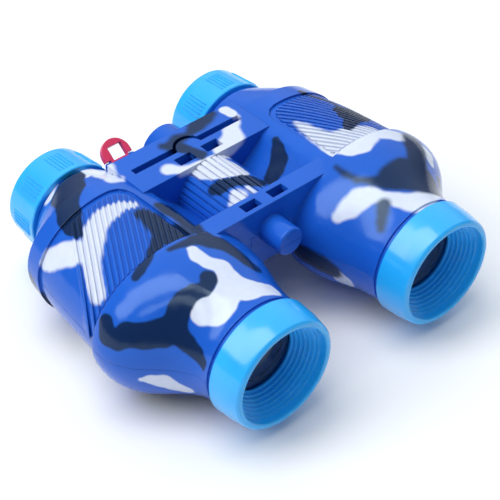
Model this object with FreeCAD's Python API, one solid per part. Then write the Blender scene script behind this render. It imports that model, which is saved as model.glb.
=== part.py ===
import FreeCAD, Part
import math
import os
from FreeCAD import Vector

os.makedirs("parts", exist_ok=True)

# Toy binoculars in millimetres
# X to the right barrel, Y from the objectives to the eyecups, Z up
# Everything is shaped about the barrel axes, then lowered onto the table at the end

# Driving sizes of the whole toy
half_spacing = 33.0
total_length = 112.5
rest_depth = 22.6
wall = 2.0
seam_gap = 0.06

# Objective ring sizes
ring_depth = 11.25
ring_mouth_radius = 15.9
ring_front_radius = 18.25
ring_rear_radius = 19.27
ring_edge_round = 1.5
ring_lip_length = 1.6
ring_aperture_radius = 10.9
ring_aperture_start = 9.7
ring_aperture_length = 0.7
ring_step_count = 7
ring_skirt_start = 5.2
ring_pocket_end = 15.6
ring_pocket_wall = 1.3

# Objective lens and its retaining ring
lens_pocket_radius = 11.9
lens_fit = 0.06
lens_edge = 1.6
lens_bulge = 1.3
retainer_length = 1.9
retainer_inner_radius = 9.2

# Spigots of the housing that carry the rings and eyecups
front_spigot_radius = 17.3
front_spigot_bore = 15.4
front_spigot_start = 5.6
spigot_fit = 0.05
shoulder_gap = 0.2
shoulder_radius = 17.95
rear_spigot_radius = 14.2
rear_spigot_bore = 11.9
rear_spigot_end = 106.3
bead_start = 100.6
bead_length = 1.2
bead_height = 0.4
bead_clearance = 0.15

# Eyecup sizes
eyecup_front = 98.3
eyecup_front_radius = 16.15
eyecup_rear_radius = 15.3
eyecup_edge_round = 1.6
eyecup_seat = 106.8
eyecup_tube_start = 101.2
eyecup_tube_radius = 11.55
eye_pocket_radius = 10.4
eye_aperture_radius = 9.0
eye_aperture_end = 108.3
eye_hollow_radius = 12.2
eye_lens_edge = 2.2
eye_lens_hollow = 0.7
eye_retainer_length = 1.7
eye_retainer_inner_radius = 8.4
grip_group_count = 8
grip_ridge_count = 5
grip_ridge_pitch_deg = 4.4
grip_ridge_width = 0.7
grip_ridge_height = 0.35
grip_ridge_inset = 1.5

# Bridge between the barrels
bar_top = 19.1
front_bar_start = 42.9
front_bar_end = 49.8
rear_beam_start = 71.9
slot_start = 80.5
slot_end = 82.9
rear_beam_end = 89.6
slot_half_width = 21.6
bridge_half_width = 25.5
window_inner = 2.2
window_outer = 8.5
front_window_start = 44.5
front_window_end = 48.0
rear_window_start = 74.5
rear_window_end = 78.2
web_thickness = 2.3

# Ribbed centre tube, front pin and rear boss
tube_radius = 11.9
tube_axis = 7.2
tube_rib_count = 15
tube_rib_pitch_deg = 10.5
tube_groove_width = 0.55
tube_groove_depth = 0.6
pin_radius = 4.8
pin_axis = 9.6
pin_end = 33.7
pin_edge_round = 0.8
collar_half_width = 7.8
boss_radius = 7.95
boss_axis = 11.0
boss_front = 84.9
boss_rear = 95.1
boss_edge_round = 0.5
hub_radius = 5.2
hub_axis = 12.7
hub_end = 85.1
bite_radius = 5.6
bite_centre = 80.2
tongue_gap = 0.9
tongue_drop = 0.3
slot_depth = 4.2

# Valleys beside the centre tube
crease_x = 23.4
crease_z = 18.7
valley_x = 9.8
valley_z = 6.0
valley_sag = 1.1

# Grip panels
panel_recess = 0.8
panel_inner = 28.2
panel_front = 45.3
panel_rear = 78.4
panel_rear_round = 5.2
panel_front_round = 2.0
panel_lower_inner = 48.0
panel_rib_pitch = 1.65
panel_rib_width = 0.85
panel_rib_drop = 0.2
panel_rib_count = 21
panel_rib_first = 48.4
panel_rib_angle_deg = 30.0
panel_margin = 1.5

# Snap hooks of the lower housing
hook_width = 4.8
hook_thickness = 1.5
hook_top = 15.2
hook_barb = 1.1
hook_barb_length = 3.4
ledge_height = 2.0
ledge_depth = 1.6
hook_play = 0.12

# Strap loop and its ears
loop_x = -18.6
loop_pivot_y = 91.2
loop_pivot_z = 15.3
loop_half_width = 5.05
loop_length = 8.7
loop_thickness = 1.8
loop_tilt_deg = 38.0
loop_hole_start = 2.0
loop_hole_end = 6.4
loop_hole_left = 2.15
loop_hole_right = 3.1
loop_foot_radius = 1.5
loop_foot_half = 3.3
loop_bar_radius = 0.9
ear_thickness = 1.4
ear_radius = 2.1
ear_play = 0.25
bar_fit = 0.06

# Outline of a barrel: place along it, outward shift, half width, upper and lower half heights
# All are shares of the half spacing
cheek_section_shares = [
    (0.385, 0.000, 0.563, 0.563, 0.563),
    (0.550, 0.006, 0.577, 0.571, 0.563),
    (0.720, 0.042, 0.658, 0.601, 0.588),
    (0.900, 0.101, 0.780, 0.649, 0.647),
    (1.080, 0.138, 0.862, 0.685, 0.712),
    (1.240, 0.150, 0.886, 0.699, 0.736),
    (1.372, 0.149, 0.874, 0.688, 0.728),
]
house_section_shares = [
    (1.280, 0.146, 0.850, 0.648, 0.700),
    (1.750, 0.128, 0.822, 0.643, 0.700),
    (2.200, 0.106, 0.788, 0.628, 0.698),
    (2.580, 0.084, 0.748, 0.598, 0.688),
]
neck_section_shares = [
    (2.580, 0.068, 0.712, 0.580, 0.655),
    (2.700, 0.046, 0.630, 0.550, 0.600),
    (2.820, 0.022, 0.546, 0.512, 0.534),
    (2.930, 0.000, 0.474, 0.474, 0.474),
]
hollow_section_shares = [
    (0.380, 0.000, 0.500, 0.500, 0.500),
    (0.600, 0.014, 0.524, 0.512, 0.514),
    (0.900, 0.104, 0.704, 0.570, 0.576),
    (1.200, 0.150, 0.780, 0.612, 0.640),
    (1.450, 0.148, 0.740, 0.556, 0.606),
    (2.400, 0.100, 0.650, 0.530, 0.590),
    (2.620, 0.046, 0.520, 0.460, 0.500),
    (2.800, 0.000, 0.392, 0.392, 0.392),
    (2.950, 0.000, 0.366, 0.366, 0.366),
]
section_point_count = 14

up = Vector(0, 0, 1)
along = Vector(0, 1, 0)
across = Vector(1, 0, 0)
origin = Vector(0, 0, 0)


def box(x0, x1, y0, y1, z0, z1):
    return Part.makeBox(x1 - x0, y1 - y0, z1 - z0, Vector(x0, y0, z0))


def rod(radius, x, z, y0, y1):
    return Part.makeCylinder(radius, y1 - y0, Vector(x, y0, z), along)


def fuse_all(shapes):
    body = shapes[0]
    if len(shapes) > 1:
        body = body.fuse(shapes[1:])
    return body.removeSplitter()


def mirrored(shape):
    return shape.mirror(origin, across)


def turned(profile, x):
    """Solid of revolution about a barrel axis; the profile is a list of (radius, place) corners."""
    vertices = [Vector(x + radius, y, 0) for radius, y in profile]
    wire = Part.makePolygon(vertices + [vertices[0]])
    return Part.Face(wire).revolve(Vector(x, 0, 0), along, math.degrees(2.0 * math.pi))


def section_wire(shares, shrink):
    """Closed smooth outline of the right barrel at one place along it."""
    place, shift, half_width, rise, drop = [share * half_spacing for share in shares]
    points = []
    for index in range(section_point_count):
        angle = 2.0 * math.pi * index / section_point_count
        height = rise if math.sin(angle) >= 0 else drop
        x = half_spacing + shift + (half_width - shrink) * math.cos(angle)
        z = (height - shrink) * math.sin(angle)
        points.append(Vector(x, place, z))
    curve = Part.BSplineCurve()
    curve.interpolate(Points=points, PeriodicFlag=True)
    return Part.Wire([curve.toShape()])


def barrel_loft(table, shrink, straight=False):
    wires = [section_wire(shares, shrink) for shares in table]
    return Part.makeLoft(wires, True, straight)


def arc_points(centre_r, centre_y, radius, start_deg, end_deg, steps):
    """Corner points of a rounded edge in a turned profile."""
    points = []
    for index in range(steps + 1):
        angle = math.radians(start_deg + (end_deg - start_deg) * index / steps)
        points.append((centre_r + radius * math.cos(angle), centre_y + radius * math.sin(angle)))
    return points


# Objective rings with stepped inside
round_steps = 3


def objective_ring(x):
    step_rise = (ring_mouth_radius - ring_aperture_radius) / ring_step_count
    step_run = (ring_aperture_start - ring_lip_length) / ring_step_count
    skirt = front_spigot_radius + spigot_fit
    tube_outer = lens_pocket_radius + ring_pocket_wall
    cone_outer = front_spigot_bore - 5.0 * spigot_fit
    profile = [(ring_mouth_radius, ring_lip_length)]
    lip_round = ring_edge_round / 2.0
    profile += arc_points(ring_mouth_radius + lip_round, lip_round, lip_round, 180.0, 270.0, round_steps)
    profile += arc_points(ring_front_radius - ring_edge_round, ring_edge_round, ring_edge_round, 270.0, 360.0, round_steps)
    middle = (ring_front_radius + ring_rear_radius) / 2.0 + lip_round / 4.0
    profile.append((middle, ring_depth / 2.0))
    profile.append((ring_rear_radius, ring_depth - lip_round / 2.0))
    profile.append((ring_rear_radius - lip_round / 2.0, ring_depth))
    profile.append((skirt, ring_depth))
    profile.append((skirt, ring_skirt_start))
    profile.append((cone_outer, ring_skirt_start))
    profile.append((tube_outer, ring_aperture_start - step_run))
    profile.append((tube_outer, ring_pocket_end))
    profile.append((lens_pocket_radius, ring_pocket_end))
    aperture_end = ring_aperture_start + ring_aperture_length
    profile.append((lens_pocket_radius, aperture_end))
    profile.append((ring_aperture_radius, aperture_end))
    for index in range(ring_step_count):
        radius = ring_aperture_radius + step_rise * index
        profile.append((radius, ring_aperture_start - step_run * index))
        profile.append((radius + step_rise, ring_aperture_start - step_run * index))
    return turned(profile, x)


def lens_disc(x, radius, y0, edge, front_bulge, rear_bulge):
    """Lens between two ball surfaces; a positive bulge stands out, a negative one is hollow."""
    lens = rod(radius, x, 0, y0 - max(front_bulge, 0), y0 + edge + max(rear_bulge, 0))
    for bulge, place, inward in ((front_bulge, y0, 1), (rear_bulge, y0 + edge, -1)):
        ball_radius = (radius ** 2 + bulge ** 2) / (2.0 * abs(bulge))
        side = inward if bulge > 0 else -inward
        centre = Vector(x, place - inward * bulge + side * ball_radius, 0)
        ball = Part.makeSphere(ball_radius, centre, up)
        lens = lens.common(ball) if bulge > 0 else lens.cut(ball)
    return lens


def plain_ring(x, outer, inner, y0, y1):
    return rod(outer, x, 0, y0, y1).cut(rod(inner, x, 0, y0 - wall, y1 + wall))


# Eyecups with grouped grip ridges


def eyecup(x):
    skirt = rear_spigot_radius + spigot_fit
    bead_inner = rear_spigot_radius - bead_height
    rear = total_length
    profile = [(skirt, eyecup_front)]
    profile.append((eyecup_front_radius - grip_ridge_height, eyecup_front))
    profile.append((eyecup_front_radius, eyecup_front + grip_ridge_height))
    profile += arc_points(eyecup_rear_radius - eyecup_edge_round, rear - eyecup_edge_round, eyecup_edge_round, 0.0, 90.0, round_steps)
    hollow_round = eyecup_edge_round / 2.0
    profile += arc_points(eye_hollow_radius + hollow_round, rear - hollow_round, hollow_round, 90.0, 150.0, round_steps)
    profile.append((eye_aperture_radius, eye_aperture_end))
    profile.append((eye_aperture_radius, eyecup_seat))
    profile.append((eye_pocket_radius, eyecup_seat))
    profile.append((eye_pocket_radius, eyecup_tube_start))
    profile.append((eyecup_tube_radius, eyecup_tube_start))
    profile.append((eyecup_tube_radius, eyecup_seat))
    profile.append((skirt, eyecup_seat))
    profile.append((skirt, bead_start + bead_length))
    profile.append((bead_inner, bead_start + bead_length - bead_height / 2.0))
    profile.append((bead_inner, bead_start + bead_height / 2.0))
    profile.append((skirt, bead_start))
    cup = turned(profile, x)
    ridges = []
    slope = (eyecup_front_radius - eyecup_rear_radius) / (total_length - eyecup_edge_round - eyecup_front)
    y0 = eyecup_front + grip_ridge_inset
    y1 = total_length - eyecup_edge_round - grip_ridge_inset
    inner0 = eyecup_front_radius - slope * (y0 - eyecup_front) - grip_ridge_height
    inner1 = eyecup_front_radius - slope * (y1 - eyecup_front) - grip_ridge_height
    half = grip_ridge_width / 2.0
    rise = 2.0 * grip_ridge_height
    for group in range(grip_group_count):
        for index in range(grip_ridge_count):
            middle = (grip_ridge_count - 1) / 2.0
            angle = 360.0 * group / grip_group_count + (index - middle) * grip_ridge_pitch_deg
            foot = [
                Vector(x + inner0, y0, -half),
                Vector(x + inner0, y0, half),
                Vector(x + inner1, y1, half),
                Vector(x + inner1, y1, -half),
            ]
            crest = [
                Vector(x + inner0 + rise, y0 + rise, -half / 3.0),
                Vector(x + inner0 + rise, y0 + rise, half / 3.0),
                Vector(x + inner1 + rise, y1 - rise, half / 3.0),
                Vector(x + inner1 + rise, y1 - rise, -half / 3.0),
            ]
            low = Part.makePolygon(foot + [foot[0]])
            high = Part.makePolygon(crest + [crest[0]])
            ridge = Part.makeLoft([low, high], True, True)
            ridge.rotate(Vector(x, 0, 0), along, angle)
            ridges.append(ridge)
    return fuse_all([cup] + ridges)


# Barrel housings: cheek, house and neck with the grip panel


def panel_region(inset, z0, z1, inner):
    """Area of the grip panel seen from above, rounded at its two inner corners."""
    x_in = inner + inset
    x_out = half_spacing * 2.0 + half_spacing
    y_front = panel_front + inset
    y_rear = panel_rear - inset
    points = []
    for px, py in arc_points(x_in + panel_front_round, y_front + panel_front_round, panel_front_round, 270.0, 180.0, round_steps):
        points.append(Vector(px, py, z0))
    for px, py in arc_points(x_in + panel_rear_round, y_rear - panel_rear_round, panel_rear_round, 180.0, 90.0, round_steps):
        points.append(Vector(px, py, z0))
    points.append(Vector(x_out, y_rear, z0))
    points.append(Vector(x_out, y_front, z0))
    face = Part.Face(Part.makePolygon(points + [points[0]]))
    return face.extrude(Vector(0, 0, z1 - z0))


def right_barrel():
    reach = half_spacing * 2.0
    ground = box(-reach, reach * 2.0, -wall, total_length + wall, -reach, -rest_depth)
    cheek = barrel_loft(cheek_section_shares, 0).cut(ground)
    house = barrel_loft(house_section_shares, 0).cut(ground)
    neck = barrel_loft(neck_section_shares, 0)
    floor = barrel_loft(house_section_shares, panel_recess)
    crest = barrel_loft(house_section_shares, panel_rib_drop)
    high = half_spacing
    upper_area = panel_region(0, 0, high, panel_inner)
    lower_area = panel_region(0, -high, 0, panel_lower_inner)
    house = house.cut(upper_area.cut(floor)).cut(lower_area.cut(floor))
    # Straight ribs that run outward as they run forward, each with a clear end margin
    turn = math.radians(panel_rib_angle_deg)
    normal = Vector(math.cos(turn), math.sin(turn), 0)
    line = Vector(math.sin(turn), -math.cos(turn), 0)
    field = panel_region(panel_margin, 0, high, panel_inner).common(crest)
    core = barrel_loft(house_section_shares, panel_recess * 2.0)
    field = field.cut(core)
    slabs = []
    for index in range(panel_rib_count):
        start = panel_rib_first + panel_rib_pitch * index
        base = normal * start - line * reach
        slab = Part.makeBox(panel_rib_width, reach * 2.0, high)
        slab.rotate(origin, up, math.degrees(math.atan2(line.y, line.x)) - 90.0)
        slab.translate(base)
        slabs.append(slab)
    ribs = field.common(Part.makeCompound(slabs))
    # Scooped valley beside the centre tube, up to the crease along the barrel
    mid = Vector((crease_x + valley_x) / 2.0, front_bar_end, (crease_z + valley_z) / 2.0 - valley_sag)
    low = Vector(valley_x, front_bar_end, valley_z)
    crease = Vector(crease_x, front_bar_end, crease_z)
    roof = Vector(crease_x, front_bar_end, high)
    side = Vector(valley_x, front_bar_end, high)
    outline = Part.Wire([
        Part.Arc(low, mid, crease).toShape(),
        Part.makeLine(crease, roof),
        Part.makeLine(roof, side),
        Part.makeLine(side, low),
    ])
    scoop = Part.Face(outline).extrude(Vector(0, rear_beam_start - front_bar_end, 0))
    house = house.cut(scoop)
    front_spigot = rod(front_spigot_radius, half_spacing, 0, front_spigot_start, half_spacing / 2.0)
    shoulder = rod(shoulder_radius, half_spacing, 0, ring_depth + shoulder_gap, half_spacing / 2.0)
    rear_spigot = rod(rear_spigot_radius, half_spacing, 0, eyecup_front - half_spacing / 10.0, rear_spigot_end)
    groove = plain_ring(
        half_spacing,
        rear_spigot_radius + wall,
        rear_spigot_radius - bead_height - bead_clearance,
        bead_start - bead_clearance,
        bead_start + bead_length + bead_clearance,
    )
    rear_spigot = rear_spigot.cut(groove)
    return house.fuse([cheek, neck, front_spigot, shoulder, rear_spigot, ribs])


def barrel_hollow():
    hollow = barrel_loft(hollow_section_shares, 0, True)
    front = rod(front_spigot_bore, half_spacing, 0, 0, half_spacing * 0.45)
    rear = rod(rear_spigot_bore, half_spacing, 0, rear_spigot_end - half_spacing * 0.4, total_length)
    return hollow.fuse([front, rear])


# Bridge with its bars, windows, slot, ribbed tube, pin and boss


def bridge_outside():
    half = bridge_half_width
    front_bar = box(-half, half, front_bar_start, front_bar_end, 0, bar_top)
    rear_front = box(-half, half, rear_beam_start, slot_start, 0, bar_top)
    rear_back = box(-half, half, slot_end, rear_beam_end, 0, bar_top)
    ends = box(-half, half, slot_start, slot_end, 0, bar_top)
    ends = ends.cut(box(-slot_half_width, slot_half_width, slot_start - wall, slot_end + wall, -wall, bar_top + wall))
    tube = rod(tube_radius, 0, tube_axis, front_bar_end - wall, rear_beam_start + wall)
    boss = rod(boss_radius, 0, boss_axis, boss_front, boss_rear)
    rear_edges = [edge for edge in boss.Edges if abs(edge.BoundBox.YMin - boss_rear) < wall / 100.0]
    boss = boss.makeFillet(boss_edge_round, [edge for edge in rear_edges if edge.BoundBox.YLength < wall / 100.0])
    # Round tongue that reaches over the slot into a round bite in the rear strip
    tongue_radius = bite_radius - tongue_gap
    tongue_top = bar_top - tongue_drop
    tongue = Part.makeCylinder(tongue_radius, tongue_top, Vector(0, bite_centre, 0), up)
    tongue = tongue.fuse(box(-tongue_radius, tongue_radius, slot_start - wall, bite_centre, 0, tongue_top))
    bite = Part.makeCylinder(bite_radius, half, Vector(0, bite_centre, -wall), up)
    bite = bite.common(box(-half, half, slot_end - wall, boss_rear, -wall, half))
    rear_back = rear_back.fuse(boss).cut(bite)
    # Grooves leave the ribs of the centre tube standing
    grooves = []
    for index in range(tube_rib_count + 1):
        angle = (index - tube_rib_count / 2.0) * tube_rib_pitch_deg
        groove = box(
            -tube_groove_width / 2.0,
            tube_groove_width / 2.0,
            front_bar_end - wall,
            rear_beam_start + wall,
            tube_axis + tube_radius - tube_groove_depth,
            tube_axis + tube_radius + tube_groove_depth,
        )
        groove.rotate(Vector(0, 0, tube_axis), along, angle)
        grooves.append(groove)
    tube = tube.cut(grooves)
    tube = tube.cut(box(-half, half, 0, total_length, -half, 0))
    return front_bar.fuse([rear_front, rear_back, ends, tube, tongue])


def bridge_hollow():
    reach = bridge_half_width
    roof = bar_top - wall
    front = box(-reach, reach, front_window_start, front_window_end, -wall, roof)
    beam = box(-reach, reach, rear_window_start, rear_window_end, -wall, roof)
    back = box(-reach, reach, boss_front + wall, rear_beam_end - wall, -wall, roof)
    bore = rod(tube_radius - wall, 0, tube_axis, front_window_end + wall, rear_window_start - wall)
    bore = bore.fuse(box(wall - tube_radius, tube_radius - wall, front_window_end + wall, rear_window_start - wall, -wall, tube_axis))
    boss_bore = rod(boss_radius - wall, 0, boss_axis, boss_front + wall, boss_rear - wall)
    hub_bore = rod(hub_radius - wall, 0, hub_axis, rear_window_end - wall, hub_end - wall)
    windows = []
    for side in (-1, 1):
        x0, x1 = sorted((side * window_inner, side * window_outer))
        windows.append(box(x0, x1, front_window_start, front_window_end, roof - wall, bar_top + wall))
        windows.append(box(x0, x1, rear_window_start, rear_window_end, roof - wall, bar_top + wall))
    return front.fuse([beam, back, bore, boss_bore, hub_bore] + windows)


def hook(side, start, end):
    """Snap hook of the lower housing that stands inside one window."""
    middle = side * (window_inner + window_outer) / 2.0
    half = hook_width / 2.0
    y0 = start + hook_thickness / 2.0
    y1 = y0 + hook_thickness
    post = box(middle - half, middle + half, y0, y1, -web_thickness, hook_top)
    barb_low = hook_top - hook_barb_length
    vertices = [
        Vector(middle - half, y1, barb_low),
        Vector(middle - half, y1 + hook_barb, barb_low),
        Vector(middle - half, y1, hook_top),
    ]
    barb = Part.Face(Part.makePolygon(vertices + [vertices[0]])).extrude(Vector(hook_width, 0, 0))
    return post.fuse(barb)


def ledge(side, start, end):
    """Catch rib of the upper housing under one hook's barb."""
    middle = side * (window_inner + window_outer) / 2.0
    half = hook_width / 2.0
    y1 = start + hook_thickness * 1.5 + hook_play
    top = hook_top - hook_barb_length - hook_play
    return box(middle - half, middle + half, y1, end + wall / 2.0, top - ledge_height, top)


def front_pin():
    pin = rod(pin_radius, 0, pin_axis, pin_end, front_bar_start + wall / 2.0)
    edges = [edge for edge in pin.Edges if edge.BoundBox.YMax < pin_end + wall / 100.0]
    return pin.makeFillet(pin_edge_round, edges)


def strap_ears():
    ears = []
    for side in (-1, 1):
        inner = loop_x + side * (loop_foot_half + ear_play)
        outer = inner + side * ear_thickness
        x0, x1 = sorted((inner, outer))
        disc = Part.makeCylinder(ear_radius, x1 - x0, Vector(x0, loop_pivot_y, loop_pivot_z), across)
        root = box(x0, x1, rear_beam_end - wall / 2.0, loop_pivot_y, loop_pivot_z - ear_radius, loop_pivot_z + ear_radius)
        ears.append(disc.fuse(root))
    return ears


def loop_clearance():
    """Room for the loop's bar through both ears, and for the foot between them."""
    end = loop_foot_half + ear_play + ear_thickness + bar_fit
    pivot = Vector(loop_x, loop_pivot_y, loop_pivot_z)
    bar = Part.makeCylinder(loop_bar_radius + bar_fit, 2.0 * end, pivot - across * end, across)
    foot_end = loop_foot_half + ear_play
    foot = Part.makeCylinder(loop_foot_radius + bar_fit, 2.0 * foot_end, pivot - across * foot_end, across)
    return bar.fuse(foot)


def strap_loop():
    """Flat loop drawn upright over its pivot and leaned to its slant; a heel on its foot rests on the wall."""
    half = loop_half_width
    round_start = loop_length - half
    base = Vector(loop_x, loop_pivot_y, loop_pivot_z)
    thick = loop_thickness
    corners = [
        Vector(-half, 0, 0),
        Vector(half, 0, 0),
        Vector(half, 0, round_start),
        Vector(-half, 0, round_start),
    ]
    arch = Part.Arc(corners[2], Vector(0, 0, loop_length), corners[3]).toShape()
    outline = Part.Wire([
        Part.makeLine(corners[0], corners[1]),
        Part.makeLine(corners[1], corners[2]),
        arch,
        Part.makeLine(corners[3], corners[0]),
    ])
    plate = Part.Face(outline).extrude(Vector(0, thick, 0))
    plate.translate(Vector(0, -thick / 2.0, 0))
    window = box(-loop_hole_left, loop_hole_right, -thick, thick, loop_hole_start, loop_hole_end)
    plate = plate.cut(window)
    clear = ear_radius + ear_play
    side_cut = half - loop_foot_half
    for x0 in (-half - wall, loop_foot_half):
        plate = plate.cut(box(x0, x0 + side_cut + wall, -thick, thick, -wall, clear))
    foot = Part.makeCylinder(loop_foot_radius, 2.0 * loop_foot_half, Vector(-loop_foot_half, 0, 0), across)
    reach = loop_foot_half + ear_play + ear_thickness
    bar = Part.makeCylinder(loop_bar_radius, 2.0 * reach, Vector(-reach, 0, 0), across)
    plate = fuse_all([plate, foot, bar])
    plate.rotate(origin, across, loop_tilt_deg - 90.0)
    heel = box(0, loop_foot_half, -loop_foot_radius, 0, -loop_foot_radius, 0)
    loop = fuse_all([plate, heel])
    loop.translate(base)
    return loop


# Housings split at the seam; the seam steps up around the front pin

barrel = right_barrel()
hollow = barrel_hollow()
slot_end_cut = box(0, slot_half_width, slot_start, slot_end, bar_top - slot_depth, half_spacing)
slot_end_cut = slot_end_cut.cut(barrel_loft(hollow_section_shares, -wall / 2.0, True))
barrel = barrel.cut(slot_end_cut)
outside = barrel.fuse([mirrored(barrel), bridge_outside()])
bridge_void = bridge_hollow().cut([barrel, mirrored(barrel)])
inside = hollow.fuse([mirrored(hollow), bridge_void])
shell = outside.cut(inside)
reach = total_length
half_gap = seam_gap / 2.0
above = box(-reach, reach, -wall, reach + wall, half_gap, reach)
below = box(-reach, reach, -wall, reach + wall, -reach, -half_gap)
collar_cut = box(
    -collar_half_width,
    collar_half_width,
    pin_end - wall,
    front_window_start,
    -wall,
    pin_axis + half_gap,
)
pin = front_pin()
upper_pin = pin.common(box(-reach, reach, 0, reach, pin_axis + half_gap, reach))
lower_pin = pin.common(box(-reach, reach, 0, reach, -reach, pin_axis - half_gap))
upper = shell.common(above).cut(collar_cut).fuse([upper_pin] + strap_ears()).cut(loop_clearance())
ledges = []
hooks = []
for side in (-1, 1):
    for start, end in ((front_window_start, front_window_end), (rear_window_start, rear_window_end)):
        ledges.append(ledge(side, start, end))
        hooks.append(hook(side, start, end))
upper = upper.fuse(ledges)

web_half = bridge_half_width - wall
web = box(-web_half, web_half, front_window_start, rear_beam_end - wall, -web_thickness, -half_gap)
web = web.cut(hollow).cut(mirrored(hollow))
collar = box(
    seam_gap - collar_half_width,
    collar_half_width - seam_gap,
    front_bar_start,
    front_window_start - seam_gap,
    -web_thickness,
    pin_axis - half_gap,
)
foot_plate = box(
    seam_gap - collar_half_width,
    collar_half_width - seam_gap,
    front_bar_start,
    front_window_start + wall,
    -web_thickness,
    -half_gap,
)
lower = shell.common(below).fuse([web, collar, foot_plate, lower_pin] + hooks)

# Optics of each barrel
lens_front = ring_aperture_start + ring_aperture_length
lens_radius = lens_pocket_radius - lens_fit
front_sag = lens_bulge * (1.0 - (ring_aperture_radius / lens_radius) ** 2)
rear_sag = lens_bulge * (1.0 - (retainer_inner_radius / lens_radius) ** 2)
lens_seat = lens_front + lens_fit + front_sag
retainer_start = lens_seat + lens_edge + rear_sag + lens_fit
eye_radius = eye_pocket_radius - lens_fit
eye_lens_start = eyecup_seat - lens_fit - eye_lens_edge
eye_retainer_end = eye_lens_start - lens_fit

shapes = {"upper_housing": upper, "lower_housing": lower}
for name, x in (("left", -half_spacing), ("right", half_spacing)):
    shapes[name + "_objective_ring"] = objective_ring(x)
    shapes[name + "_objective_lens"] = lens_disc(x, lens_radius, lens_seat, lens_edge, lens_bulge, lens_bulge)
    shapes[name + "_objective_retainer"] = plain_ring(
        x, lens_radius, retainer_inner_radius, retainer_start, retainer_start + retainer_length
    )
    shapes[name + "_eyecup"] = eyecup(x)
    shapes[name + "_eye_lens"] = lens_disc(x, eye_radius, eye_lens_start, eye_lens_edge, -eye_lens_hollow, -eye_lens_hollow)
    shapes[name + "_eye_retainer"] = plain_ring(
        x, eye_radius, eye_retainer_inner_radius, eye_retainer_end - eye_retainer_length, eye_retainer_end
    )
shapes["strap_loop"] = strap_loop()

shift = Vector(0, -total_length / 2.0, rest_depth)
for name, shape in shapes.items():
    shape.translate(shift)
    bounds = shape.BoundBox
    print(
        "%-26s solids %d valid %s volume %.0f  x %.2f..%.2f y %.2f..%.2f z %.2f..%.2f"
        % (name, len(shape.Solids), shape.isValid(), shape.Volume, bounds.XMin, bounds.XMax,
           bounds.YMin, bounds.YMax, bounds.ZMin, bounds.ZMax)
    )
    shape.exportStep("parts/" + name + ".step")
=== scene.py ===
"""Looks of toy binoculars: camouflage shells, blue trim, clear lenses and a red strap loop."""

import logging
import math
from dataclasses import dataclass
from enum import Enum
from typing import Any, Optional, Union

import bpy
from mathutils import Matrix, Vector
from mathutils.bvhtree import BVHTree


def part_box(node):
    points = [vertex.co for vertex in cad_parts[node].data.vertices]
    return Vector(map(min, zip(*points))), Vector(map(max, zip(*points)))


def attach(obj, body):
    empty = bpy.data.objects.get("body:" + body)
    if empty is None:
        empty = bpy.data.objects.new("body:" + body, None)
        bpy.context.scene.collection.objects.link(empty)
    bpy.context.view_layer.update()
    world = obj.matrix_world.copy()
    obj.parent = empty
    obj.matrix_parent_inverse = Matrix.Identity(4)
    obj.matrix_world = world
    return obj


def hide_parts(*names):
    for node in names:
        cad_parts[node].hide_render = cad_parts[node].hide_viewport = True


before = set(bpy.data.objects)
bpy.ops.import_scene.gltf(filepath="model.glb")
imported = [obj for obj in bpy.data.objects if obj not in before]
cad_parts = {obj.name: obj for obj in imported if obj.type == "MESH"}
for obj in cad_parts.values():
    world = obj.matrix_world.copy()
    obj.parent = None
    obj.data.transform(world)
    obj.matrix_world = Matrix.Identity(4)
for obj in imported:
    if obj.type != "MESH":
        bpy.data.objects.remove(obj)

LOG = logging.getLogger("toy_binoculars")
MILLIMETRE = 0.001
CLOUD_RANGE = (0.35, 0.7)
SPECK_RANGE = (0.3, 0.7)
SMEAR_RANGE = (0.4, 0.8)
FADE_RANGE = (-1.0, 1.0)
NOISE_MIDDLE = (0.5, 0.5, 0.5)
GRAIN_DETAIL = 4.0
DRIFT_DETAIL = 2.0
WAVE_DETAIL = 1.0

Colour = tuple[float, float, float, float]
Point = tuple[float, float, float]


# Shader sums written as plain expressions


class Wire:
    """One output socket that takes part in sums like a number."""

    def __init__(self, bench: "Bench", socket: bpy.types.NodeSocket) -> None:
        """Keeps the bench that owns the socket, and the socket.

        Args:
            bench: Bench that owns the socket.
            socket: The output socket.
        """
        self.bench = bench
        self.socket = socket

    def maths(self, operation: str, *values: Union["Wire", float]) -> "Wire":
        """Adds one Math node over the given values.

        Args:
            operation: Name of the operation.
            values: Values of its sockets, in order.

        Returns:
            The result.
        """
        return self.bench.add("ShaderNodeMath", {"operation": operation}, dict(enumerate(values)))

    def __add__(self, other: Union["Wire", float]) -> "Wire":
        """Sum of two values."""
        return self.maths("ADD", self, other)

    def __radd__(self, other: float) -> "Wire":
        """Sum with a number in front."""
        return self.maths("ADD", other, self)

    def __sub__(self, other: Union["Wire", float]) -> "Wire":
        """Difference of two values."""
        return self.maths("SUBTRACT", self, other)

    def __rsub__(self, other: float) -> "Wire":
        """A number less this value."""
        return self.maths("SUBTRACT", other, self)

    def __mul__(self, other: Union["Wire", float]) -> "Wire":
        """Product of two values."""
        return self.maths("MULTIPLY", self, other)

    def __rmul__(self, other: float) -> "Wire":
        """Product with a number in front."""
        return self.maths("MULTIPLY", other, self)

    def lowest(self, other: Union["Wire", float], blend: Union["Wire", float]) -> "Wire":
        """Smaller of two values, rounded over where they meet.

        Args:
            other: The other value.
            blend: How far the two are rounded into each other.

        Returns:
            The smaller value.
        """
        return self.maths("SMOOTH_MIN", self, other, blend)

    def step(self, low: float, high: float, start: float = 0.0, end: float = 1.0) -> "Wire":
        """Smooth change from start to end as this value goes from low to high.

        Args:
            low: Value where the change begins.
            high: Value where it ends.
            start: Result up to low.
            end: Result past high.

        Returns:
            The changed value.
        """
        return self.bench.add(
            "ShaderNodeMapRange",
            {"interpolation_type": "SMOOTHSTEP"},
            {
                "Value": self,
                "From Min": low,
                "From Max": high,
                "To Min": start,
                "To Max": end,
            },
        )


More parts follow.
